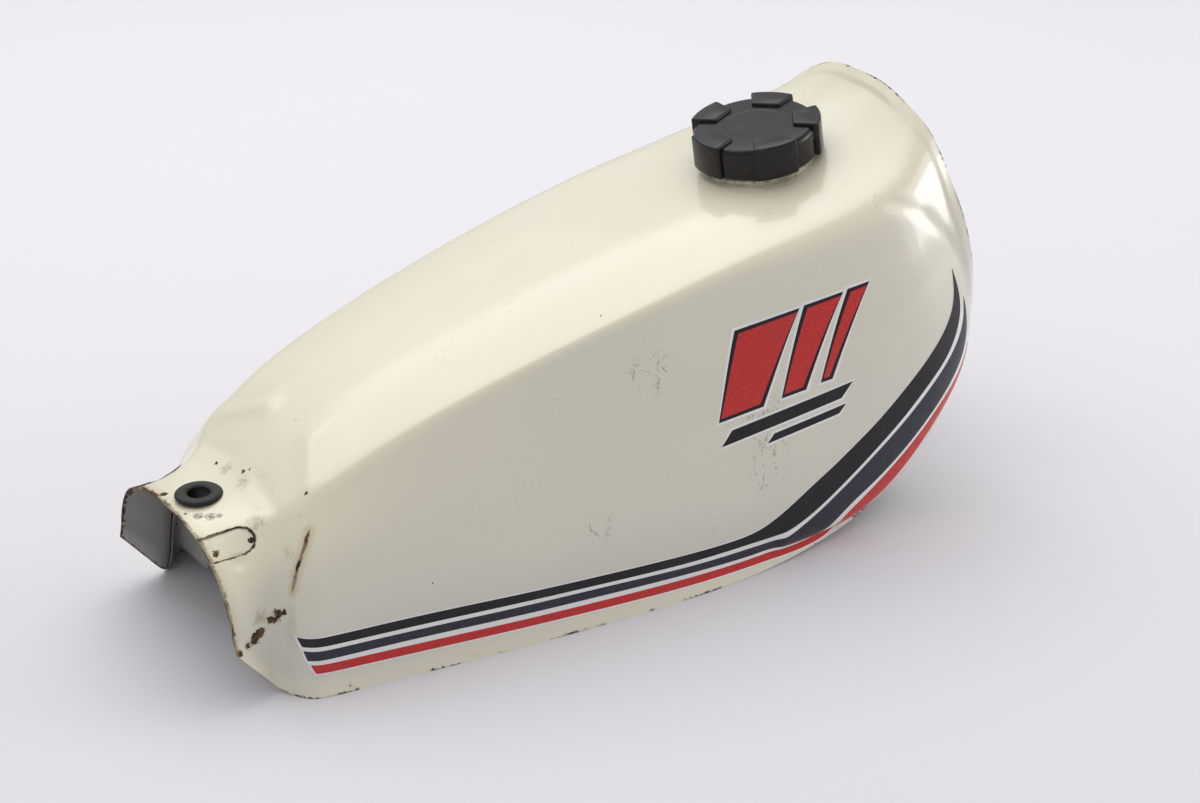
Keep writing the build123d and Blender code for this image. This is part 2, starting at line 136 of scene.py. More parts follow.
def directions(surface, t, s):
    # unit vectors down the section and inward through the sheet
    step = 1e-4
    forward = surface(np.minimum(t + step, 1), s) - surface(np.maximum(t - step, 0), s)
    down = surface(t, np.minimum(s + step, 1)) - surface(t, np.maximum(s - step, -1))
    inward = np.cross(down, forward)
    down = down / np.linalg.norm(down, axis=-1, keepdims=True)
    return down, inward / np.linalg.norm(inward, axis=-1, keepdims=True)


def smoothStep(value, low, high):
    share = np.clip((value - low) / (high - low), 0, 1)
    return share * share * (3 - 2 * share)


def runLength(points, axis):
    # distance travelled along one direction of a grid of points
    steps = np.linalg.norm(np.diff(points, axis=axis), axis=-1)
    run = np.cumsum(steps, axis=axis)
    return np.concatenate([np.zeros_like(run.take([0], axis=axis)), run], axis=axis)


def rowRange(*stops):
    # stops are (row, steps to the next stop)
    pieces = [np.linspace(a, b, n, endpoint=False) for (a, n), (b, _) in zip(stops, stops[1:])]
    return np.concatenate(pieces + [[stops[-1][0]]])


def lineDistance(points, line):
    # the distance from each point to a line of straight stretches
    best = np.full(points.shape[:-1], 1e3)
    for start, end in zip(line, line[1:]):
        start, span = np.array(start, float), np.array(end, float) - np.array(start, float)
        share = np.clip((points - start) @ span / (span @ span), 0, 1)
        best = np.minimum(best, np.linalg.norm(points - start - share[..., None] * span, axis=-1))
    return best


def smoothLine(path, count=26):
    # points on the skin along a path of (row, s)
    rows, sides = np.array(path, float).T
    corners = np.arange(len(path))
    run = np.linspace(0, len(path) - 1, count)
    return skin(np.interp(run, corners, rows) / lastRow, np.interp(run, corners, sides))


pressedLines = [(height, width, smoothLine(path)) for height, width, path in shell["pressings"]]
rimLine = skin(np.ones(60), np.linspace(0, 1, 60))


def pressed(t, s):
    # the skin with its pressed lines, dimple and rolled rim
    dimple, roll = shell["dimple"], shell["rimRoll"]
    points = skin(t, s)
    near = np.stack([points[..., 0], np.abs(points[..., 1]), points[..., 2]], axis=-1)
    inner, outer = roll["width"] - roll["soft"], roll["width"] + roll["soft"]
    height = roll["height"] * (1 - smoothStep(lineDistance(near, rimLine), inner, outer))
    for rise, width, line in pressedLines:
        height = height + rise * np.exp(-((lineDistance(near, line) / width) ** 2))
    gap = np.linalg.norm(near - np.array(dimple["at"], float), axis=-1)
    height = height - dimple["depth"] * (1 - smoothStep(gap, 0, dimple["radius"]))
    return points - height[..., None] * directions(skin, t, s)[1]


# ---- mesh helpers ----
def addObject(name, mesh, *materials):
    thing = bpy.data.objects.new(name, mesh)
    bpy.context.scene.collection.objects.link(thing)
    for material in materials:
        mesh.materials.append(material)
    return thing


def applied(thing):
    # the evaluated object as a plain mesh, with its modifiers gone
    graph = bpy.context.evaluated_depsgraph_get()
    final = thing.evaluated_get(graph)
    mesh = bpy.data.meshes.new_from_object(final, preserve_all_data_layers=True, depsgraph=graph)
    thing.modifiers.clear()
    thing.data = mesh
    return thing


def smoothed(thing, angle=35):
    mesh = thing.data
    mesh.polygons.foreach_set("use_smooth", [True] * len(mesh.polygons))
    mesh.set_sharp_from_angle(angle=math.radians(angle))
    return thing


def gridMesh(name, points, keep=None, fields=None):
    # a sheet of quads that faces outwards, with a float attribute for each field
    rows, columns = points.shape[:2]
    index = np.arange(rows * columns).reshape(rows, columns)
    quads = np.stack([index[:-1, :-1], index[1:, :-1], index[1:, 1:], index[:-1, 1:]], axis=-1)
    quads = quads[keep] if keep is not None else quads.reshape(-1, 4)
    used = np.unique(quads)
    renumber = np.full(rows * columns, -1)
    renumber[used] = np.arange(len(used))
    mesh = bpy.data.meshes.new(name)
    mesh.from_pydata((points.reshape(-1, 3)[used] * mm).tolist(), [], renumber[quads].tolist())
    for field, values in (fields or {}).items():
        layer = mesh.attributes.new(field, "FLOAT", "POINT")
        layer.data.foreach_set("value", values.ravel()[used].astype(np.float32))
    return mesh


def thickened(thing, thickness, inner=0, rim=0, offset=-1):
    wall = thing.modifiers.new("wall", "SOLIDIFY")
    wall.thickness = thickness * mm
    wall.offset = offset
    wall.use_even_offset = True
    wall.material_offset = inner
    wall.material_offset_rim = rim
    return smoothed(applied(thing))


def lathe(name, profile, steps=96):
    # turns an (r, z) outline round the z axis; points with r = 0 become poles
    mesh = bpy.data.meshes.new(name)
    build = bmesh.new()
    rings = []
    for r, z in profile:
        if r == 0:
            rings.append([build.verts.new((0, 0, z * mm))] * steps)
            continue
        angles = [2 * math.pi * k / steps for k in range(steps)]
        rings.append([build.verts.new((r * math.cos(a) * mm, r * math.sin(a) * mm, z * mm)) for a in angles])
    closed = profile[0][0] > 0
    pairs = list(zip(rings, rings[1:])) + ([(rings[-1], rings[0])] if closed else [])
    for upper, lower in pairs:
        for k in range(steps):
            corners = [upper[k], upper[(k + 1) % steps], lower[(k + 1) % steps], lower[k]]
            corners = list(dict.fromkeys(corners))
            if len(corners) > 2:
                build.faces.new(corners)
    bmesh.ops.recalc_face_normals(build, faces=build.faces)
    build.to_mesh(mesh)
    build.free()
    return mesh


def rounded(corners, radius, steps=5, closed=True):
    # replaces each corner of an outline with an arc; radius is one value or one per corner
    radii = radius if isinstance(radius, (list, tuple)) else [radius] * len(corners)
    points = []
    for k, corner in enumerate(corners):
        here = np.array(corner, float)
        if radii[k] == 0 or (not closed and k in (0, len(corners) - 1)):
            points.append(tuple(here))
            continue
        back = np.array(corners[k - 1], float) - here
        on = np.array(corners[(k + 1) % len(corners)], float) - here
        reach = min(radii[k], 0.49 * np.linalg.norm(back), 0.49 * np.linalg.norm(on))
        start, end = here + back / np.linalg.norm(back) * reach, here + on / np.linalg.norm(on) * reach
        for share in np.linspace(0, 1, steps + 1):
            points.append(tuple((1 - share) ** 2 * start + 2 * share * (1 - share) * here + share**2 * end))
    return points


def fillerMatrix():
    turn = Matrix.Rotation(math.radians(filler["pitch"]), 4, "Y")
    return Matrix.Translation(Vector(filler["at"]) * mm) @ turn


# ---- shader helpers ----
class Value:
    # a socket that takes part in arithmetic; each operation adds a Math node
    def __init__(self, finish, socket):
        self.finish, self.socket = finish, socket

    def math(self, operation, *others):
        return self.finish.node("ShaderNodeMath", {"operation": operation}, dict(enumerate((self, *others))))

    def __add__(self, other):
        return self.math("ADD", other)

    def __sub__(self, other):
        return self.math("SUBTRACT", other)

    def __rsub__(self, other):
        return self.finish.node("ShaderNodeMath", {"operation": "SUBTRACT"}, {0: other, 1: self})

    def __mul__(self, other):
        return self.math("MULTIPLY", other)

    def __truediv__(self, other):
        return self.math("DIVIDE", other)

    def __neg__(self):
        return self * -1

    def __or__(self, other):
        return self.math("MAXIMUM", other)

    def __and__(self, other):
        return self.math("MINIMUM", other)

    __radd__ = __add__
    __rmul__ = __mul__


class Finish:
    def __init__(self, name):
        self.material = bpy.data.materials.new(name)
        self.material.use_nodes = True
        self.tree = self.material.node_tree
        self.tree.nodes.clear()
        self.place = self.node("ShaderNodeTexCoord", {}, {}, "Object")

    def node(self, kind, settings, sockets, output=0):
        made = self.tree.nodes.new(kind)
        for key, value in settings.items():
            setattr(made, key, value)
        for key, value in sockets.items():
            if isinstance(value, Value):
                self.tree.links.new(value.socket, made.inputs[key])
            elif isinstance(value, tuple) and len(value) == 3 and len(made.inputs[key].default_value) == 4:
                made.inputs[key].default_value = (*value, 1)
            else:
                made.inputs[key].default_value = value
        return Value(self, made.outputs[output])

    def noise(self, scale, detail=3.0, roughness=0.5, distortion=0.0, place=None):
        sockets = {"Vector": place or self.place, "Scale": scale, "Detail": detail}
        sockets.update({"Roughness": roughness, "Distortion": distortion})
        return self.node("ShaderNodeTexNoise", {}, sockets, "Fac")

    def cells(self, scale, output="Distance", place=None):
        return self.node("ShaderNodeTexVoronoi", {}, {"Vector": place or self.place, "Scale": scale}, output)

    def stretched(self, scale, turn=(0.0, 0.0, 0.0)):
        return self.node("ShaderNodeMapping", {}, {"Vector": self.place, "Scale": scale, "Rotation": turn})

    def field(self, name):
        return self.node("ShaderNodeAttribute", {"attribute_name": name}, {}, "Fac")

    def step(self, value, low, high):
        sockets = {"Value": value, "From Min": low, "From Max": high}
        return self.node("ShaderNodeMapRange", {"interpolation_type": "SMOOTHSTEP"}, sockets)

    def mix(self, factor, first, second, blend="MIX"):
        made = self.tree.nodes.new("ShaderNodeMix")
        made.data_type, made.blend_type = "RGBA", blend
        for key, value in ((0, factor), (6, first), (7, second)):
            if isinstance(value, Value):
                self.tree.links.new(value.socket, made.inputs[key])
            else:
                made.inputs[key].default_value = (*value, 1) if isinstance(value, tuple) else value
        return Value(self, made.outputs[2])

    def part(self, vector, axis):
        return self.node("ShaderNodeSeparateXYZ", {}, {0: vector}, axis)

    def bump(self, height, distance, strength=1.0, normal=None):
        sockets = {"Height": height, "Distance": distance * mm, "Strength": strength}
        if normal is not None:
            sockets["Normal"] = normal
        return self.node("ShaderNodeBump", {}, sockets)

    def surface(self, **sockets):
        named = {key.replace("_", " "): value for key, value in sockets.items()}
        shader = self.node("ShaderNodeBsdfPrincipled", {}, named)
        output = self.tree.nodes.new("ShaderNodeOutputMaterial")
        self.tree.links.new(shader.socket, output.inputs["Surface"])
        return self.material


rust = {"dark": (0.022, 0.013, 0.008), "warm": (0.19, 0.085, 0.025), "stain": (0.66, 0.50, 0.24)}


def rustColour(finish):
    blotch = finish.step(finish.noise(260.0, 5.0, 0.6), 0.42, 0.66)
    return finish.mix(blotch, rust["dark"], rust["warm"])


def creamPaint():
    # gloss cream enamel, paler and yellower on its top with painted light, darker on its sides with painted
    # shade, worn to rust along its cut edges
    f = Finish("creamPaint")
    # up-facing faces mix towards the paler, yellower cream: partly yellowing of the paint, partly painted
    # light; the darker cream kept on the sides is painted shade
    cream, yellowedLitTop = (0.655, 0.63, 0.545), (0.87, 0.815, 0.615)
    broad, fine = f.noise(9.0, 3.0), f.noise(420.0, 6.0, 0.65)
    upward = f.part(f.node("ShaderNodeNewGeometry", {}, {}, "Normal"), "Z")
    topLightAndYellowing = f.step(upward, 0.02, 0.62) * 0.92 + (broad - 0.5) * 0.4
    colour = f.mix(topLightAndYellowing & 1.0, cream, yellowedLitTop)
    # faint grime in wide soft clouds, a few small brown specks
    grime = f.step(f.noise(5.0, 3.0, 0.5), 0.45, 0.80) * 0.06
    colour = f.mix(grime, colour, (0.62, 0.53, 0.34))
    chosen = f.step(f.part(f.cells(58.0, "Color"), "X"), 0.86, 0.88)
    specks = f.step(f.cells(58.0) + (fine - 0.5) * 0.07, 0.040, 0.018) * chosen
    dusty = f.step(f.noise(14.0, 2.0), 0.5, 0.7) * 0.45
    dust = f.step(f.cells(240.0) + (fine - 0.5) * 0.2, 0.085, 0.03) * dusty
    # hairline scratches that run with the tank, and scuffs where the field says so
    hairs = f.noise(70.0, 2.0, 0.5, 0.4, f.stretched((0.25, 1.0, 1.6), (0.0, 0.5, 0.2)))
    scratch = f.step((hairs - 0.5).math("ABSOLUTE"), 0.0035, 0.0012) * f.step(f.noise(22.0, 2.0), 0.56, 0.66)
    nicks = f.noise(150.0, 3.0, 0.6, 0.8, f.stretched((1.0, 1.0, 0.35), (0.0, 0.35, 0.0)))
    scuffs = f.step((nicks - 0.5).math("ABSOLUTE"), 0.030, 0.010) * f.step(f.field("scuffField"), 0.1, 0.6)
    colour = f.mix(scratch * 0.35, colour, (0.42, 0.38, 0.30))
    colour = f.mix(scuffs * f.step(fine, 0.44, 0.56) * 0.8, colour, (0.30, 0.26, 0.20))
    # rust eats in from each cut edge
    ragged = (fine - 0.5) * 7.0
    patchy = f.step(f.noise(70.0, 4.0), 0.42, 0.58)
    rear = f.step(f.field("rearDistance") + ragged * 0.75, 2.1, 0.9) * (0.55 + patchy * 0.45)
    lip = f.step(f.field("lipDistance") + ragged * 0.8, 1.2, 0.2) * f.step(f.noise(38.0, 3.0), 0.50, 0.58)
    rim = f.step(f.field("rimDistance") + ragged * 0.6, 0.9, 0.1) * f.step(f.noise(55.0, 3.0), 0.50, 0.57)
    slot = f.step(f.field("slotDistance") + ragged * 0.4, 0.9, 0.1)
    crack = f.step(f.field("crackDistance") + ragged * 0.35, 1.25, 0.6) * (0.6 + patchy * 0.4)
    blobs = f.step(f.field("rustField") + (f.noise(190.0, 5.0, 0.7) - 0.5) * 1.9, 0.56, 0.66)
    rusted = rear | lip | rim | slot | crack | blobs
    stained = f.step(f.field("rustField") + (fine - 0.5) * 0.6, 0.15, 1.0) * 0.35
    seepage = f.step(f.field("rearDistance") + ragged, 9.0, 0.0) * 0.35
    nearCrack = f.step(f.field("crackDistance") + ragged * 0.5, 5.0, 0.0) * 0.5
    dirt = f.step(f.field("dirtField") + (fine - 0.5) * 1.6 + (f.noise(60.0, 4.0) - 0.5) * 0.8, 0.45, 1.25)
    colour = f.mix((stained | seepage) | nearCrack, colour, rust["stain"], "MULTIPLY")
    colour = f.mix(dirt * 0.55, colour, (0.34, 0.24, 0.10))
    colour = f.mix(dust, colour, (0.36, 0.28, 0.16))
    scraped = f.step(f.field("scrapeField") + (fine - 0.5) * 1.2, 0.45, 0.55)
    colour = f.mix(scraped, colour, f.mix(f.step(fine, 0.4, 0.6), (0.16, 0.13, 0.09), (0.46, 0.44, 0.40)))
    rusted = (rusted | specks) * (1 - scraped * 0.6)
    colour = f.mix(rusted, colour, rustColour(f))
    smudge = f.step(f.noise(20.0, 3.0, 0.5), 0.35, 0.85)
    dull = rusted | (scraped | dirt * 0.7)
    height = (1 - rusted) + fine * 0.12 * rusted - scratch * 0.05 - scuffs * 0.04
    waves = f.bump(f.noise(20.0, 2.0), 0.30, 0.5)
    peel = f.bump(f.noise(700.0, 2.0), 0.02, 0.6, waves)
    return f.surface(
        Base_Color=colour,
        Roughness=0.24 + smudge * 0.06 + rusted * 0.5 + scraped * 0.1 + scuffs * 0.15,
        Metallic=scraped * 0.9,
        Coat_Weight=(1 - dull) * 0.7,
        Coat_Roughness=0.09,
        Normal=f.bump(height, 0.14, 1.0, peel),
    )


def insidePaint():
    # grey overspray over bare steel, spotted with rust
    f = Finish("insidePaint")
    fine = f.noise(380.0, 6.0, 0.65)
    colour = f.mix(f.noise(30.0, 4.0, 0.6), (0.24, 0.235, 0.22), (0.36, 0.355, 0.34))
    spots = f.step(f.cells(120.0) + (fine - 0.5) * 0.35, 0.20, 0.06) * f.step(f.noise(60.0, 3.0), 0.50, 0.62)
    edge = f.step(f.field("rearDistance") + (fine - 0.5) * 9.0, 2.6, 0.6)
    lip = f.step(f.field("lipDistance") + (fine - 0.5) * 9.0, 2.2, 0.4)
    bloom = f.step(f.noise(24.0, 5.0, 0.62), 0.60, 0.72) * 0.6
    rusted = (spots | edge | lip) | bloom * f.step(fine, 0.4, 0.6)
    colour = f.mix(bloom * 0.6, colour, (0.42, 0.31, 0.18))
    colour = f.mix(rusted, colour, rustColour(f))
    return f.surface(
        Base_Color=colour,
        Roughness=0.45 + rusted * 0.4,
        Normal=f.bump((1 - rusted) + fine * 0.3, 0.15),
    )


def panPaint():
    # the same overspray on the closed underside, with no fields to read
    f = Finish("panPaint")
    fine = f.noise(380.0, 6.0, 0.65)
    colour = f.mix(f.noise(30.0, 4.0, 0.6), (0.26, 0.25, 0.225), (0.40, 0.385, 0.345))
    spots = f.step(f.cells(110.0) + (fine - 0.5) * 0.35, 0.16, 0.05) * f.step(f.noise(60.0, 3.0), 0.52, 0.62)
    bloom = f.step(f.noise(18.0, 5.0, 0.62), 0.58, 0.70) * 0.5
    colour = f.mix(bloom, colour, (0.40, 0.30, 0.18))
    rusted = spots | bloom * f.step(fine, 0.52, 0.64)
    return f.surface(
        Base_Color=f.mix(rusted, colour, rustColour(f)),
        Roughness=0.42 + rusted * 0.4,
        Normal=f.bump((1 - rusted) + fine * 0.3, 0.12),
    )


def rustyEdge():
    # the raw cut edge of the sheet
    f = Finish("rustyEdge")
    fine = f.noise(500.0, 5.0, 0.6)
    colour = f.mix(f.step(f.noise(60.0, 4.0), 0.45, 0.6), rustColour(f), (0.33, 0.29, 0.20))
    return f.surface(Base_Color=colour, Roughness=0.8, Normal=f.bump(fine, 0.1))


def vinyl(name, colour, flake=0.0):
    # gloss film; flake adds the fine sparkle of metal-flake red
    f = Finish(name)
    sparkle = f.part(f.cells(2600.0, "Color"), "X")
    shade = f.mix(f.step(sparkle, 0.60, 1.0) * flake, colour, tuple(min(1.0, c * 1.9 + 0.04) for c in colour))
    fading = f.step(f.noise(30.0, 4.0, 0.6), 0.45, 0.75) * 0.25
    shade = f.mix(fading, shade, tuple(c * 0.8 + 0.03 for c in colour))
    wear = f.step(f.noise(180.0, 6.0, 0.7), 0.70, 0.76) * 0.45
    shade = f.mix(wear, shade, tuple(c * 0.6 + 0.12 for c in colour))
    return f.surface(
        Base_Color=shade,
        Roughness=0.22 + f.noise(40.0, 3.0) * 0.12 + wear * 0.3,
        Specular_IOR_Level=0.22,
        Coat_Weight=0.16,
        Coat_Roughness=0.1,
        Normal=f.bump(f.noise(20.0, 2.0), 0.30, 0.5),
    )


def capPlastic():
    # satin moulded black plastic, pale dust caught in its notches
    f = Finish("capPlastic")
    grain = f.noise(1500.0, 3.0)
    hollow = 1 - f.node("ShaderNodeAmbientOcclusion", {"samples": 8}, {"Distance": 4.0 * mm}, "AO")
    dust = f.step(f.noise(120.0, 5.0, 0.65), 0.58, 0.75) * 0.10
    caught = f.step(hollow + (f.noise(210.0, 5.0, 0.65) - 0.5) * 0.8, 0.36, 0.85) * 0.30
    colour = f.mix(dust | caught, (0.010, 0.008, 0.009), (0.26, 0.245, 0.22))
    scuff = f.step(f.noise(60.0, 3.0, 0.6, 0.5, f.stretched((1.0, 0.3, 1.0))), 0.52, 0.75)
    return f.surface(
        Base_Color=colour,
        Roughness=0.23 + scuff * 0.14 + (dust | caught) * 0.7,
        Specular_IOR_Level=0.34,
        Normal=f.bump(grain, 0.02, 0.5),
    )


def rubber():
    f = Finish("agedRubber")
    dust = f.step(f.noise(220.0, 5.0, 0.6), 0.5, 0.75) * 0.3
    colour = f.mix(dust, (0.010, 0.009, 0.009), (0.060, 0.052, 0.045))
    return f.surface(
        Base_Color=colour,
        Roughness=0.42 + dust * 0.6,
        Specular_IOR_Level=0.35,
        Normal=f.bump(f.noise(900.0, 4.0), 0.04),
    )


def dirtyCream():
    # the neck collar's paint, browned by spilt fuel and dirt towards its foot, with painted shade darkening
    # its hollows
    f = Finish("collarPaint")
    hollow = 1 - f.node("ShaderNodeAmbientOcclusion", {"samples": 8}, {"Distance": 9.0 * mm}, "AO")
    # the occlusion term adds painted shade to the dirt mask, in the hollows under the cap and at the collar's
    # foot
    dirt = f.step(f.noise(170.0, 6.0, 0.65) + hollow * 0.35, 0.52, 0.80)
    colour = f.mix(dirt * 0.8, (0.74, 0.70, 0.54), (0.20, 0.14, 0.07))
    return f.surface(
        Base_Color=colour,
        Roughness=0.28 + dirt * 0.4,
        Coat_Weight=0.4,
        Normal=f.bump(dirt, 0.1),
    )


def platedSteel():
    f = Finish("platedSteel")
    dull = f.noise(90.0, 5.0, 0.6)
    rusted = f.step(f.noise(240.0, 6.0, 0.65), 0.60, 0.68)
    colour = f.mix(rusted, f.mix(dull, (0.40, 0.385, 0.35), (0.58, 0.56, 0.50)), rustColour(f))
    return f.surface(Base_Color=colour, Metallic=1 - rusted, Roughness=0.34 + dull * 0.2 + rusted * 0.4)


finishes = {
    "cream": creamPaint(),
    "inside": insidePaint(),
    "pan": panPaint(),
    "edge": rustyEdge(),
    "white": vinyl("whiteVinyl", (0.82, 0.82, 0.80)),
    "black": vinyl("blackVinyl", (0.013, 0.011, 0.013)),
    "blue": vinyl("blueVinyl", (0.026, 0.027, 0.042), 0.3),
    "red": vinyl("redVinyl", (0.52, 0.030, 0.028), 0.4),
    "cap": capPlastic(),
    "rubber": rubber(),
    "collar": dirtyCream(),
    "steel": platedSteel(),
}
print("finishes made")


# ---- openings cut in the sheet ----
def slotDistance(points):
    # signed distance to the U-slot's outline in each side's slot plane, and the way out
    spec = shell["slot"]
    best, away = np.full(points.shape[:-1], 1e3), np.zeros_like(points)
    for side in (1, -1):
        end = np.array(spec["end"], float) * [1, side, 1]
        normal = np.array(spec["normal"], float) * [1, side, 1]
        normal /= np.linalg.norm(normal)
        offset = points - end
        height = offset @ normal
        flat = offset - height[..., None] * normal
        forward = np.maximum(flat[..., 0], 0)
        sideways = flat - flat[..., :1] * np.array([1, 0, 0])
        reach = sideways + forward[..., None] * np.array([1, 0, 0])
        size = np.linalg.norm(reach, axis=-1)
        gap = np.where(np.abs(height) < 14, size - spec["radius"], 1e3)
        nearer = gap < best
        best = np.where(nearer, gap, best)
        away = np.where(nearer[..., None], reach / np.maximum(size, 1e-6)[..., None], away)
    return best, away


def roundDistance(points, centre, axis, radius):
    axis = np.array(axis, float) / np.linalg.norm(axis)
    offset = points - np.array(centre, float)
    flat = offset - (offset @ axis)[..., None] * axis
    size = np.linalg.norm(flat, axis=-1)
    gap = np.where(np.abs(offset @ axis) < 45, size - radius, 1e3)
    return gap, flat / np.maximum(size, 1e-6)[..., None]


def cutOpenings(points, openings):
    # drops the quads inside each opening and draws the rest back to its outline
    keep = np.ones((points.shape[0] - 1, points.shape[1] - 1), bool)
    middle = (points[:-1, :-1] + points[1:, :-1] + points[1:, 1:] + points[:-1, 1:]) / 4
    for measure in openings:
        inside = measure(middle)[0] < 0
        keep &= ~inside
        touched = np.zeros(points.shape[:2], bool)
        for a in (0, 1):
            for b in (0, 1):
                touched[a : a + inside.shape[0], b : b + inside.shape[1]] |= inside
        gap, away = measure(points)
        points = np.where(touched[..., None], points - gap[..., None] * away, points)
    return points, keep


def skinCrown(x):
    t = np.linspace(0, 1, 600)
    crown = skin(t, 0 * t)
    return float(np.interp(x, crown[:, 0], crown[:, 2]))


fillerAxis = (math.sin(math.radians(filler["pitch"])), 0, math.cos(math.radians(filler["pitch"])))
grommetCentre = (grommet["x"], 0, skinCrown(grommet["x"]))


def grommetOpening(points):
    return roundDistance(points, grommetCentre, (0, 0, 1), shell["grommetHole"])


def neckOpening(points):
    return roundDistance(points, filler["at"], fillerAxis, shell["neckHole"])


# ---- the painted shell ----
wear = {
    # x, y, z and radius of each patch of rust
    "rust": [
        (-202, -2, 93, 3.0), (-199, -5, 94.5, 2.0), (-206, -10, 90.5, 1.6), (-209, -33, 89, 2.6),
        (-190, -53, 98.5, 1.7), (-196, -56, 90, 1.5), (-198, -58, 85, 1.6), (-240, -12, 84, 2.5),
        (-219.3, -65.3, 41, 5.5), (-216.5, -66, 44, 4.0), (-227.7, -66.7, 36, 4.5), (-231.7, -67.7, 34, 5.0),
        (-236, -69.5, 33, 4.0), (-242, -71.5, 31.5, 4.0), (-214, -67.7, 45, 2.5),
        (-214, -69, 5, 4.0), (-206, -67, 12, 4.0), (-240, 14, 84, 3.5), (-236, 40, 79, 2.5),
        (-226, 66, 36, 6.0), (-207, 20, 90, 2.5), (-85, -85, 96, 1.7), (-31, -104, 54, 1.2),
        (24, -95, 111, 1.1), (33, -90, 132, 1.0), (65, -88, 150, 1.0), (-190, -88, 2, 4.0),
        (-120, -99, 2, 3.0), (-20, -112, 2, 2.5), (150, 95, 12, 4.0), (-100, 98, 2, 4.0), (30, 117, 2, 3.0),
    ],
    "dirt": [
        (-226, 0, 85, 17.0), (-206, -8, 91, 9.0), (-214, -40, 84, 9.0), (-232, -44, 78, 9.0),
        (-226, -64, 44, 9.0), (-204, -60, 72, 8.0), (-206, 10, 90, 7.0), (128, 0, 187, 42.0),
    ],
    "scuffs": [
        (64, -106, 92, 17.0), (66, -110, 78, 16.0), (63, -113, 62, 15.0), (2, -88, 129, 14.0),
        (-44, -104, 55, 10.0), (-6, -86, 133, 9.0), (88, -104, 118, 8.0), (60, 112, 70, 14.0),
    ],
    "scrape": [(-230, -21, 83.5, 5.0), (-235, -17, 84, 4.5), (-226, -23, 83, 3.5)],
    "crack": [
        (-195.5, -64.5, 85), (-197.7, -65.6, 80.2), (-200.9, -67.1, 74.8), (-204.6, -68, 68.3),
        (-207.5, -68.9, 61), (-209.1, -69.4, 56.2),
    ],
}


def patchField(points, patches):
    field = np.zeros(points.shape[:-1])
    for x, y, z, radius in patches:
        gap = np.linalg.norm(points - np.array([x, y, z], float), axis=-1)
        field = np.maximum(field, np.clip(1.15 - gap / radius, 0, 1))
    return field


def shellPiece():
    half = rowRange((0, 20), (0.28, 36), (0.54, 42), (0.9, 12), (1, 0))
    s = np.concatenate([-half[:0:-1], half])
    rows = rowRange((0, 58), (5.2, 24), (8, 20), (10.5, 46), (13, 20), (15, 26), (lastRow, 0))
    t, s = np.meshgrid(rows / lastRow, s, indexing="ij")
    plain, points = skin(t, s), pressed(t, s)
    rearRun, lipRun = runLength(points, 0), runLength(points, 1)
    rimRun = rearRun[-1:] - rearRun
    lipRun = np.minimum(lipRun, lipRun[:, -1:] - lipRun)
    points, keep = cutOpenings(points, [slotDistance, grommetOpening, neckOpening])
    fields = {
        "rearDistance": rearRun,
        "lipDistance": lipRun,
        "rimDistance": rimRun,
        "slotDistance": np.maximum(slotDistance(points)[0], 0),
        "crackDistance": lineDistance(plain, wear["crack"]),
        "rustField": patchField(plain, wear["rust"]),
        "dirtField": patchField(plain, wear["dirt"]),
        "scuffField": patchField(plain, wear["scuffs"]),
        "scrapeField": patchField(plain, wear["scrape"]),
    }
    mesh = gridMesh("paintedShell", points, keep, fields)
    piece = addObject("paintedShell", mesh, finishes["cream"], finishes["inside"], finishes["edge"])
    thickened(piece, shell["sheet"], 1, 2)
    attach(piece, "tank")
    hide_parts("outer_skin_left", "outer_skin_right")


shellPiece()
print("shell made")


# ---- the inner bracket under the saddle ----
def bracketPiece():
    spec = {"depth": 1.05, "thickness": 1.6, "rows": (0.1, 3.0), "side": 0.56}
    rows = np.linspace(*spec["rows"], 40) / lastRow
    t, s = np.meshgrid(rows, np.linspace(-spec["side"], spec["side"], 121), indexing="ij")
    points = pressed(t, s) + spec["depth"] * directions(pressed, t, s)[1]
    points, keep = cutOpenings(points, [grommetOpening])
    nearSlot = slotDistance(points)[0]
    fields = {
        "rearDistance": runLength(points, 0),
        "lipDistance": np.full(points.shape[:2], 50.0),
        "rimDistance": np.full(points.shape[:2], 50.0),
        "slotDistance": np.maximum(-nearSlot, 0),
        "crackDistance": np.full(points.shape[:2], 50.0),
        "rustField": patchField(points, [(-238, -44, 76, 4.0), (-219, -44, 77, 3.0)]),
        "dirtField": patchField(points, [(-226, 0, 83, 16.0)]),
        "scuffField": np.zeros(points.shape[:2]),
        "scrapeField": np.zeros(points.shape[:2]),
    }
    mesh = gridMesh("saddleBracket", points, keep, fields)
    piece = addObject("saddleBracket", mesh, finishes["cream"], finishes["inside"], finishes["edge"])
    thickened(piece, spec["thickness"], 1, 2)
    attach(piece, "tank")
    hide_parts("rear_saddle_bracket")


bracketPiece()


# ---- rubber grommet ----
def grommetPiece():
    top, grip = grommet["flange"], grommet["grip"]
    outer, bore, neck = grommet["radius"], grommet["bore"], grommet["neck"]
    outline = [(bore, top - 1.0), (bore + 1.6, top), (outer - 1.8, top - 0.1), (outer, 1.5)]
    outline += [(outer - 0.9, 0.05), (neck, 0.05), (neck, -grip - 0.05)]
    outline += [(outer - 0.9, -grip - 0.05), (outer, -grip - 1.4)]
    outline += [(outer - 1.6, -grip - top), (bore + 1.4, -grip - top), (bore, -grip - top + 1.0)]
    profile = rounded(outline, [0.5, 1.3, 1.6, 1.2, 0.4, 0, 0, 0.4, 1.2, 1.4, 1.2, 0.5], 5)
    piece = addObject("rearGrommet", lathe("rearGrommet", profile, 72), finishes["rubber"])
    piece.data.transform(Matrix.Translation(Vector(grommetCentre) * mm))
    smoothed(piece, 50)
    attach(piece, "tank")
    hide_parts("rear_grommet")


grommetPiece()


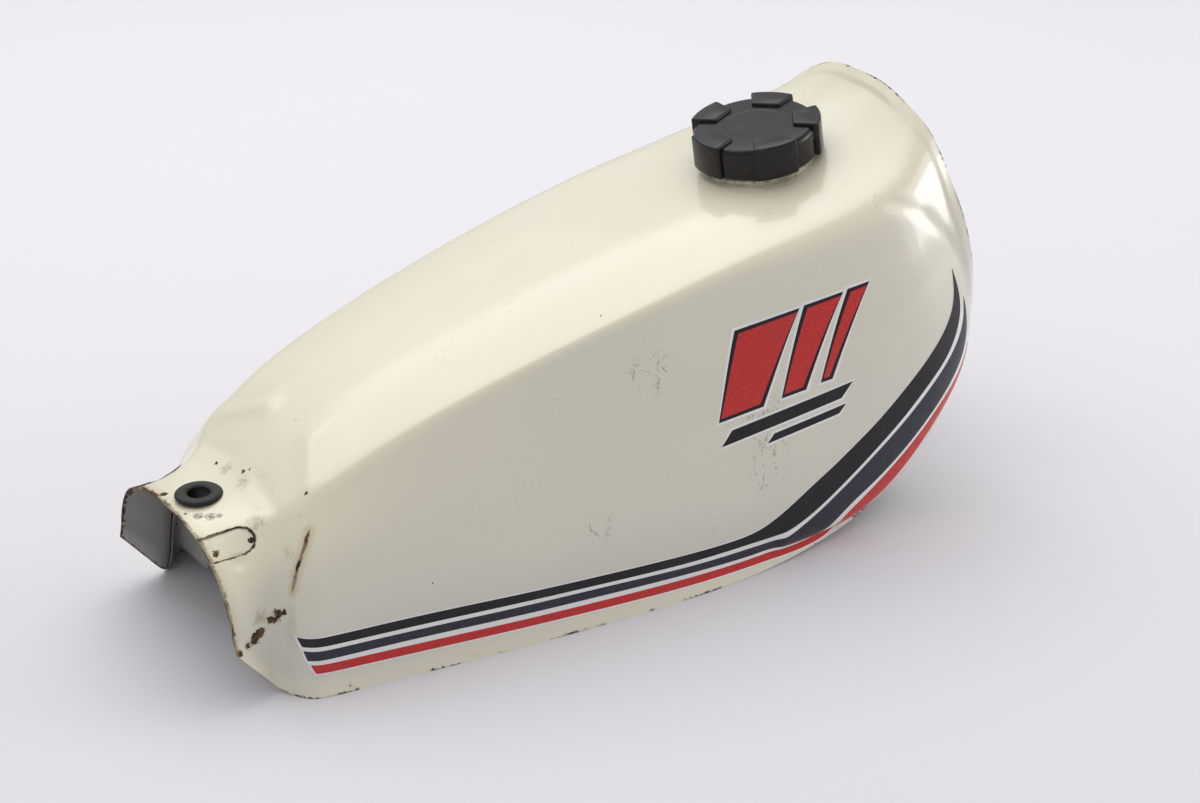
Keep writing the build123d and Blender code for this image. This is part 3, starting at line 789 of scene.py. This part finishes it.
# ---- filler collar and cap ----
def collarPiece():
    outline = [(28.7, -21.6), (31.8, -21.6), (32.9, -22.6), (33.0, -26.0), (34.2, -28.4), (36.5, -30.5)]
    outline += [(36.5, -33.0), (28.7, -34.0)]
    profile = rounded(outline, [0, 0.7, 0.8, 1.2, 1.6, 0, 0, 0], 4)
    piece = addObject("fillerCollar", lathe("fillerCollar", profile, 120), finishes["collar"])
    piece.data.transform(fillerMatrix())
    smoothed(piece, 50)
    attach(piece, "tank")
    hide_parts("neck_collar")


collarPiece()

cap = {
    "radius": 35.5, "face": -1.9, "skirt": -20, "bore": 30.3, "ceiling": -3,
    "lobeRadius": 38, "lobeRoot": 21.5, "lobeWidth": 40, "lobeCount": 5, "firstLobe": 36,
    # the raised ring on the face, and the boss that holds the liner disc
    "ring": 18.2, "ringRise": 0.12, "boss": 8, "bossEnd": -4.95, "spigot": 5, "spigotEnd": -6.6, "screw": 1.5,
}


def capBody():
    radius, face, skirt, bore, ceiling = [cap[key] for key in ("radius", "face", "skirt", "bore", "ceiling")]
    ring, boss, spigot, screw = [cap[key] for key in ("ring", "boss", "spigot", "screw")]
    outline = [(0, face), (ring - 1.2, face), (ring, face + cap["ringRise"]), (ring + 1.2, face + 0.08)]
    outline += [(radius - 1.9, face), (radius, -4.2), (radius, skirt + 0.8), (radius - 0.7, skirt)]
    outline += [(bore + 0.7, skirt), (bore, skirt + 0.7), (bore, ceiling), (boss, ceiling)]
    outline += [(boss, cap["bossEnd"]), (spigot, cap["bossEnd"]), (spigot, cap["spigotEnd"])]
    outline += [(screw, cap["spigotEnd"]), (screw, face - 0.5), (0, face - 0.5)]
    radii = [0, 0.6, 0.6, 0.6, 2.2, 2.2, 0.5, 0.5, 0.4, 0.4, 0.5, 0.4, 0.3, 0.3, 0.3, 0.2, 0.1, 0]
    return lathe("capBody", rounded(outline, radii, 4, False), 144)


def capLobe():
    # one grip lobe at angle 0, a block with a curved outer face
    half = math.radians(cap["lobeWidth"]) / 2
    arc = [(-half + 2 * half * k / 12) for k in range(13)]
    plan = [(cap["lobeRadius"] * math.cos(a), cap["lobeRadius"] * math.sin(a)) for a in arc]
    rootHalf = cap["lobeRoot"] * math.tan(half) * 1.05
    plan += [(cap["lobeRoot"], rootHalf), (cap["lobeRoot"], -rootHalf)]
    mesh = bpy.data.meshes.new("capLobe")
    build = bmesh.new()
    lower = [build.verts.new((x * mm, y * mm, (cap["skirt"] - 0.1) * mm)) for x, y in plan]
    upper = [build.verts.new((x * mm, y * mm, 0)) for x, y in plan]
    build.faces.new(lower[::-1])
    build.faces.new(upper)
    for k in range(len(plan)):
        following = (k + 1) % len(plan)
        build.faces.new([lower[k], lower[following], upper[following], upper[k]])
    bmesh.ops.recalc_face_normals(build, faces=build.faces)
    build.to_mesh(mesh)
    build.free()
    lobe = addObject("capLobe", mesh, finishes["cap"])
    edge = lobe.modifiers.new("edge", "BEVEL")
    edge.width, edge.segments, edge.limit_method, edge.angle_limit = 1.3 * mm, 4, "ANGLE", math.radians(40)
    return applied(lobe)


def ringTree(material):
    # repeats the incoming piece round the z axis
    tree = bpy.data.node_groups.new("lobeRing", "GeometryNodeTree")
    face = tree.interface
    face.new_socket("Geometry", in_out="INPUT", socket_type="NodeSocketGeometry")
    face.new_socket("Count", in_out="INPUT", socket_type="NodeSocketInt")
    face.new_socket("First Angle", in_out="INPUT", socket_type="NodeSocketFloat")
    face.new_socket("Geometry", in_out="OUTPUT", socket_type="NodeSocketGeometry")
    add, link = tree.nodes.new, tree.links.new
    given, result = add("NodeGroupInput"), add("NodeGroupOutput")
    line, index = add("GeometryNodeMeshLine"), add("GeometryNodeInputIndex")
    place = add("GeometryNodeInstanceOnPoints")
    line.inputs["Offset"].default_value = (0, 0, 0)
    share, turn, angle = add("ShaderNodeMath"), add("ShaderNodeMath"), add("ShaderNodeCombineXYZ")
    share.operation, turn.operation = "DIVIDE", "MULTIPLY_ADD"
    turn.inputs[1].default_value = 2 * math.pi
    realize, paint = add("GeometryNodeRealizeInstances"), add("GeometryNodeSetMaterial")
    paint.inputs["Material"].default_value = material
    link(given.outputs["Count"], line.inputs["Count"])
    link(index.outputs[0], share.inputs[0])
    link(given.outputs["Count"], share.inputs[1])
    link(share.outputs[0], turn.inputs[0])
    link(given.outputs["First Angle"], turn.inputs[2])
    link(turn.outputs[0], angle.inputs["Z"])
    link(line.outputs["Mesh"], place.inputs["Points"])
    link(given.outputs["Geometry"], place.inputs["Instance"])
    link(angle.outputs[0], place.inputs["Rotation"])
    link(place.outputs[0], realize.inputs[0])
    link(realize.outputs[0], paint.inputs["Geometry"])
    link(paint.outputs[0], result.inputs[0])
    return tree


def capPiece():
    piece = capLobe()
    piece.name = "capMoulding"
    tree = ringTree(finishes["cap"])
    ring = piece.modifiers.new("lobes", "NODES")
    ring.node_group = tree
    values = {"Count": cap["lobeCount"], "First Angle": math.radians(cap["firstLobe"])}
    for item in tree.interface.items_tree:
        if item.in_out == "INPUT" and item.name in values:
            ring[item.identifier] = values[item.name]
    applied(piece)
    build = bmesh.new()
    build.from_mesh(piece.data)
    build.from_mesh(capBody())
    build.to_mesh(piece.data)
    build.free()
    piece.data.transform(fillerMatrix())
    smoothed(piece, 40)
    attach(piece, "cap")
    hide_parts("cap_shell")


capPiece()
print("cap made")


# ---- vinyl stripes and side flash ----
film = {
    "whiteTop": 0.08, "colourTop": 0.16, "under": 0.02, "lengthSteps": 400, "margin": 0.8,
    # x, then the heights of the black, blue and red stripes' edges, top and bottom
    "rows": [
        (-210, 33, 28, 25.5, 20, 17.5, 12.5), (-145, 32.5, 27, 24.5, 19.5, 16, 11),
        (-90, 29.5, 24.5, 22, 17, 14, 9.5), (-38, 28, 23, 21, 16, 13, 8.5),
        (17, 25.5, 20, 17.5, 13.5, 11, 6.5), (50, 25, 20, 17, 11.5, 9.5, 5.5),
        (64, 29.5, 19.5, 16.5, 11.5, 9.5, 5), (78, 36.5, 20.5, 17, 10, 8, 4),
        (92, 44.5, 27, 24, 10, 7.5, 3.5), (106, 51.5, 35, 32.5, 14, 9.8, 4.0),
        (114, 56, 39.8, 37.2, 20, 15, 6), (122, 60.5, 44.5, 42, 26.5, 21.5, 10.5),
        (140, 70.5, 55.5, 53, 35.5, 33, 19.5), (160, 84, 68, 65, 47.5, 45, 33.5),
        (182, 98.5, 83.5, 80, 62.5, 60, 51), (200, 112, 94.5, 91.5, 75, 72, 65.5),
    ],
    "tips": {
        "black": [((208, 124), (216, 115)), ((208, 140), (208.4, 139))],
        "blue": [((215, 105), (221, 94)), ((217, 121), (217.5, 119.5))],
        "red": [((213, 81), (213, 76)), ((220.5, 91.5), (221, 90))],
    },
    "slant": {"black": (-1, 0), "blue": (0, 1), "red": (2, 4)},
}
flash = {
    "corners": [(28, 138), (140, 150), (135, 82), (35, 70)],
    # left, right and slant of each bar across the panel, how much it narrows, then its top and bottom
    "bars": [
        ("red", 0.00, 0.34, 0.24, 0.05, 0.02, 0.62), ("red", 0.40, 0.60, 0.24, 0.04, 0.02, 0.62),
        ("red", 0.66, 0.76, 0.24, 0.03, 0.02, 0.62), ("black", 0.02, 0.80, 0.08, 0.00, 0.74, 0.84),
        ("black", 0.30, 0.78, 0.05, 0.00, 0.90, 0.96),
    ],
    "margin": 1.4, "outline": 1.9,
}
scanT, scanS = np.meshgrid(np.linspace(0.1, 1, 90), np.linspace(0.42, 1, 60), indexing="ij")
scanPoints = skin(scanT, scanS)


def skinPlace(x, z):
    # parameters of the points on the tank's side at these lengths and heights
    gap = (scanPoints[..., 0] - x[:, None, None]) ** 2 + (scanPoints[..., 2] - z[:, None, None]) ** 2
    start = gap.reshape(len(x), -1).argmin(axis=1)
    t, s = scanT.ravel()[start], scanS.ravel()[start]
    step = 1e-4
    for _ in range(8):
        here = skin(t, s)
        byT = (skin(np.minimum(t + step, 1), s) - skin(t - step, s)) / (2 * step)
        byS = (skin(t, np.minimum(s + step, 1)) - skin(t, s - step)) / (2 * step)
        missX, missZ = x - here[:, 0], z - here[:, 2]
        scale = byT[:, 0] * byS[:, 2] - byT[:, 2] * byS[:, 0]
        t = np.clip(t + (missX * byS[:, 2] - missZ * byS[:, 0]) / scale, step, 1 - step)
        s = np.clip(s + (missZ * byT[:, 0] - missX * byT[:, 2]) / scale, step, 1 - step)
    return t, s


def smoothEdge(corners, count):
    # a cubic B-spline led by the corners, at even steps of its length
    points = np.array(corners, float)
    points = np.concatenate([[2 * points[0] - points[1]], points, [2 * points[-1] - points[-2]]])
    spans = len(points) - 3
    u = np.linspace(0, spans, 900)
    i = np.minimum(u.astype(int), spans - 1)
    path = np.einsum("na,nac->nc", splineWeights(u - i), points[i[:, None] + np.arange(4)])
    run = np.concatenate([[0], np.cumsum(np.linalg.norm(np.diff(path, axis=0), axis=1))])
    even = np.linspace(0, run[-1], count)
    return np.interp(even, run, path[:, 0]), np.interp(even, run, path[:, 1])


def filmPiece(name, top, bottom, height, widthSteps, colour, nodes):
    # a thin closed film on one side of the tank, for each side
    topT, topS = skinPlace(*top)
    bottomT, bottomS = skinPlace(*bottom)
    share = np.linspace(0, 1, widthSteps)
    t = topT[:, None] + (bottomT - topT)[:, None] * share
    s = topS[:, None] + (bottomS - topS)[:, None] * share
    for side, word in ((1, "Left"), (-1, "Right")):
        points = pressed(t, side * s) - height * directions(pressed, t, side * s)[1]
        grid = points if side > 0 else points[:, ::-1]
        piece = addObject(name + word, gridMesh(name + word, grid), finishes[colour])
        thickened(piece, height - film["under"])
        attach(piece, "tank")
        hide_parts(*[node.format(word.lower()) for node in nodes])


def stripePieces():
    columns = {"black": (1, 2), "blue": (3, 4), "red": (5, 6)}
    count = film["lengthSteps"]
    for colour, (topColumn, bottomColumn) in columns.items():
        tips = film["tips"][colour]
        top = [(row[0], row[topColumn]) for row in film["rows"]] + [pair[0] for pair in tips]
        bottom = [(row[0], row[bottomColumn]) for row in film["rows"]] + [pair[1] for pair in tips]
        for edge, lean in zip((top, bottom), film["slant"][colour]):
            edge[0] = (edge[0][0] + lean, edge[0][1])
        filmPiece(
            colour + "Stripe", smoothEdge(top, count), smoothEdge(bottom, count), film["colourTop"], 9,
            colour, ["stripe_" + colour + "_{}"],
        )
    grow = film["margin"]
    top = [(row[0], row[1] + grow) for row in film["rows"]] + [(208, 125), (208.3, 141)]
    bottom = [(row[0], row[6] - grow) for row in film["rows"]] + [(214, 75.5), (221.6, 90)]
    for edge, lean in ((top, -2), (bottom, 3.5)):
        edge[0] = (edge[0][0] + lean, edge[0][1])
    filmPiece(
        "stripeBacking", smoothEdge(top, count), smoothEdge(bottom, count), film["whiteTop"], 25,
        "white", ["stripe_backing_{}"],
    )


def flashPoint(across, down):
    # a place on the flash panel, as (x, z) on the tank's side
    rearTop, frontTop, frontBottom, rearBottom = [np.array(corner, float) for corner in flash["corners"]]
    top, bottom = rearTop + (frontTop - rearTop) * across, rearBottom + (frontBottom - rearBottom) * across
    return top + (bottom - top) * down


def flashEdge(left, right, down, grow, steps=24):
    ends = [flashPoint(left, down) + [-grow, 0], flashPoint(right, down) + [grow, 0]]
    share = np.linspace(0, 1, steps)
    return tuple(ends[0][k] + (ends[1][k] - ends[0][k]) * share for k in (0, 1))


def flashPieces():
    tall = np.linalg.norm(flashPoint(0.5, 1) - flashPoint(0.5, 0))
    border = flash["margin"] + flash["outline"]
    layers = [("white", border, 0.06), ("black", flash["outline"], 0.10), (None, 0, 0.14)]
    for number, (colour, left, right, slant, taper, top, bottom) in enumerate(flash["bars"]):
        for finish, grow, height in layers:
            if colour == "black" and finish == "black":
                continue
            margin = grow if colour == "red" else grow * 0.4
            rise = margin / tall
            upper = flashEdge(left + slant, right + slant, top - rise, margin)
            lower = flashEdge(left + taper, right - taper, bottom + rise, margin)
            shade = finish or colour
            filmPiece(
                f"flash{shade.capitalize()}{number}", upper, lower, height, 24,
                shade, ["side_flash_{}"],
            )


stripePieces()
flashPieces()
print("films made")


# ---- CAD pieces that keep their shape ----
kept = {
    "pan": ["tunnel_pan", "front_slide_left", "front_slide_right"],
    "steel": ["filler_neck", "tap_plate", "cap_liner_disc", "cap_retainer_washer", "cap_screw"],
    "rubber": ["cap_gasket", "vent_valve"],
}
for finishName, nodes in kept.items():
    for node in nodes:
        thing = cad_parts[node]
        thing.data.materials.clear()
        thing.data.materials.append(finishes[finishName])
print("kept pieces finished")


# ---- floor, light and camera ----
stage = {
    "floor": (0.82, 0.805, 0.83),
    "world": (0.885, 0.885, 0.92),
    "worldStrength": 0.59,
    # name, place, aim, width, height, watts
    "lamps": [
        ("ceilingWide", (0.10, 0.65, 1.75), (0, 0, 0.1), 2.8, 1.8, 13),
        ("ceilingMiddle", (0.05, 0.75, 1.70), (0, 0, 0.1), 2.0, 1.3, 6),
        ("behindWide", (-0.05, 1.70, 1.35), (0, 0, 0.1), 2.4, 1.2, 3),
        ("behindMiddle", (-0.05, 1.75, 1.40), (0, 0, 0.1), 1.6, 0.8, 1),
        ("frontWide", (2.1, -0.9, 0.75), (0.1, 0, 0.1), 1.5, 1.2, 8),
        ("frontCore", (2.1, -0.9, 0.45), (0.1, 0, 0.1), 0.8, 0.6, 6),
    ],
    "camera": (-0.6596, -1.0230, 0.7013),
    "turn": 33.805, "dip": 27.22, "lens": 72,
}


def stagePieces():
    f = Finish("floorPaper")
    colour = f.mix(f.noise(3.0, 2.0), stage["floor"], tuple(c * 1.02 for c in stage["floor"]))
    paper = f.surface(Base_Color=colour, Roughness=0.9)
    mesh = bpy.data.meshes.new("floor")
    mesh.from_pydata([(-9, -9, 0), (9, -9, 0), (9, 9, 0), (-9, 9, 0)], [], [(0, 1, 2, 3)])
    addObject("floor", mesh, paper)
    world = bpy.data.worlds.new("studio")
    bpy.context.scene.world = world
    world.use_nodes = True
    background = world.node_tree.nodes["Background"]
    background.inputs["Color"].default_value = (*stage["world"], 1)
    background.inputs["Strength"].default_value = stage["worldStrength"]
    for name, place, aim, width, height, watts in stage["lamps"]:
        light = bpy.data.lights.new(name, "AREA")
        light.shape, light.size, light.size_y, light.energy = "RECTANGLE", width, height, watts
        lamp = bpy.data.objects.new(name, light)
        lamp.location = place
        lamp.rotation_euler = (Vector(aim) - Vector(place)).to_track_quat("-Z", "Y").to_euler()
        bpy.context.scene.collection.objects.link(lamp)
    view = bpy.data.cameras.new("camera")
    view.lens, view.sensor_width = stage["lens"], 36
    camera = bpy.data.objects.new("camera", view)
    camera.location = stage["camera"]
    camera.rotation_euler = (math.radians(90 - stage["dip"]), 0, math.radians(-stage["turn"]))
    bpy.context.scene.collection.objects.link(camera)
    bpy.context.scene.camera = camera
    bpy.context.scene.view_settings.view_transform = "Standard"


stagePieces()
print("stage set")
